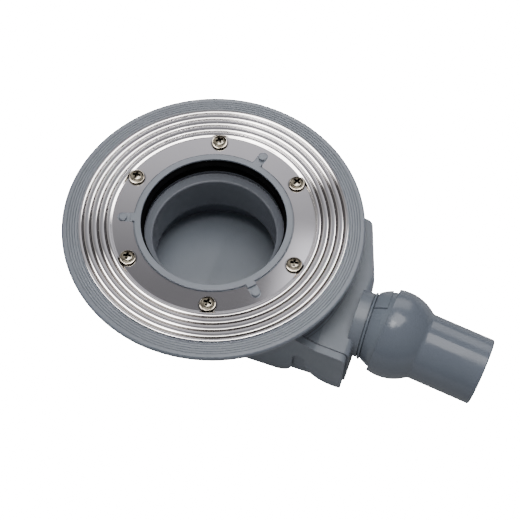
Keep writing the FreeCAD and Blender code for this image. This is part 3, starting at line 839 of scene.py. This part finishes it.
def makeFloor():
    half = studio["floorSize"] / 2
    mesh = bpy.data.meshes.new("paleFloor")
    z = studio["floorLevel"]
    corners = [(-half, -half, z), (half, -half, z), (half, half, z), (-half, half, z)]
    mesh.from_pydata(corners, [], [(0, 1, 2, 3)])
    floor = placeThing(mesh, "paleFloor")
    mat, shader = startMaterial("paleFloorPaper")
    tone = (studio["floorTone"],) * 3
    grain = noise(mat, objectPlace(mat), studio["floorGrain"])
    tint = blendColours(mat, grain, opaque(tone), opaque(tone, studio["floorGrainGain"]))
    plug(mat, shader.inputs["Base Color"], tint)
    shader.inputs["Roughness"].default_value = studio["floorRoughness"]
    path = addNode(mat, "ShaderNodeLightPath").outputs
    glow = figure(mat, "ADD", spread(mat, path["Is Camera Ray"], 0.0, studio["paperGlow"]),
                  spread(mat, path["Is Glossy Ray"], 0.0, studio["paperShine"]))
    shader.inputs["Emission Color"].default_value = (1, 1, 1, 1)
    plug(mat, shader.inputs["Emission Strength"], glow)
    mesh.materials.append(mat)


def makeWorld():
    world = bpy.data.worlds.new("softStudio")
    bpy.context.scene.world = world
    world.use_nodes = True
    back = world.node_tree.nodes["Background"]
    back.inputs["Color"].default_value = studio["worldTone"] + (1,)
    back.inputs["Strength"].default_value = studio["worldStrength"]
    world.cycles_visibility.glossy = False


def fadeEdges(light):
    # a card without hard edges, so that bent metal shows no steps
    light.use_nodes = True
    emission = light.node_tree.nodes["Emission"]
    place = addNode(light, "ShaderNodeNewGeometry").outputs["Parametric"]
    split = addNode(light, "ShaderNodeSeparateXYZ", {0: place}).outputs
    fades = []
    for axis in "XY":
        nearEdge = figure(light, "MINIMUM", split[axis], figure(light, "SUBTRACT", 1.0, split[axis]))
        fades.append(addNode(light, "ShaderNodeMapRange", {"Value": nearEdge, "From Max": studio["cardFade"]},
                             interpolation_type="SMOOTHSTEP").outputs["Result"])
    plug(light, emission.inputs["Strength"], figure(light, "MULTIPLY", fades[0], fades[1]))


def makeLightGroups():
    groups = {}
    for name, piece in litPieces.items():
        groups[name] = bpy.data.collections.new(name + "Lit")
        groups[name].objects.link(bpy.data.objects[piece])
    groups["offSheet"].collection_objects[0].light_linking.link_state = "EXCLUDE"
    return groups


def addSoftbox(name, elevation, azimuth, distance, wide, high, radiance, lights, tone):
    e, a = math.radians(elevation), math.radians(azimuth)
    place = Vector((math.cos(e) * math.cos(a), math.cos(e) * math.sin(a), math.sin(e))) * distance
    light = bpy.data.lights.new(name, "AREA")
    light.shape = "RECTANGLE"
    light.size, light.size_y = wide, high
    light.energy = radiance * math.pi * wide * high
    light.color = lampTones[tone]
    if lights == "sheet":
        fadeEdges(light)
    lamp = placeThing(light, name)
    lamp.location = place
    lamp.rotation_euler = (-place).to_track_quat("-Z", "Y").to_euler()
    lamp.visible_diffuse = lights in ("offSheet", "matt")
    lamp.visible_glossy = lights != "matt"
    if lights in lightGroups:
        lamp.light_linking.receiver_collection = lightGroups[lights]


def makeCamera():
    e, around = math.radians(cameraSetup["elevation"]), math.radians(cameraSetup["aroundZ"])
    yaw, pitch, roll = (math.radians(cameraSetup[k]) for k in ("yaw", "pitch", "roll"))
    back = Vector((0, -math.cos(e), math.sin(e)))
    right = Vector((1, 0, 0))
    up = back.cross(right)
    place = back * cameraSetup["distance"]
    right, back = right * math.cos(yaw) - back * math.sin(yaw), right * math.sin(yaw) + back * math.cos(yaw)
    up, back = up * math.cos(pitch) - back * math.sin(pitch), up * math.sin(pitch) + back * math.cos(pitch)
    right, up = right * math.cos(roll) + up * math.sin(roll), up * math.cos(roll) - right * math.sin(roll)
    axes = Matrix((right, up, back)).transposed().to_4x4()
    axes.translation = place
    camera = placeThing(bpy.data.cameras.new("photoCamera"), "photoCamera")
    camera.data.lens = cameraSetup["lens"]
    camera.data.sensor_width = cameraSetup["sensor"]
    camera.data.clip_start, camera.data.clip_end = cameraSetup["nearest"], cameraSetup["farthest"]
    camera.matrix_world = Matrix.Rotation(around, 4, "Z") @ axes
    bpy.context.scene.camera = camera


lightGroups = makeLightGroups()
makeFloor()
makeWorld()
for boxName, boxSetup in softboxes.items():
    addSoftbox(boxName, *boxSetup)
makeCamera()
print("stage set")
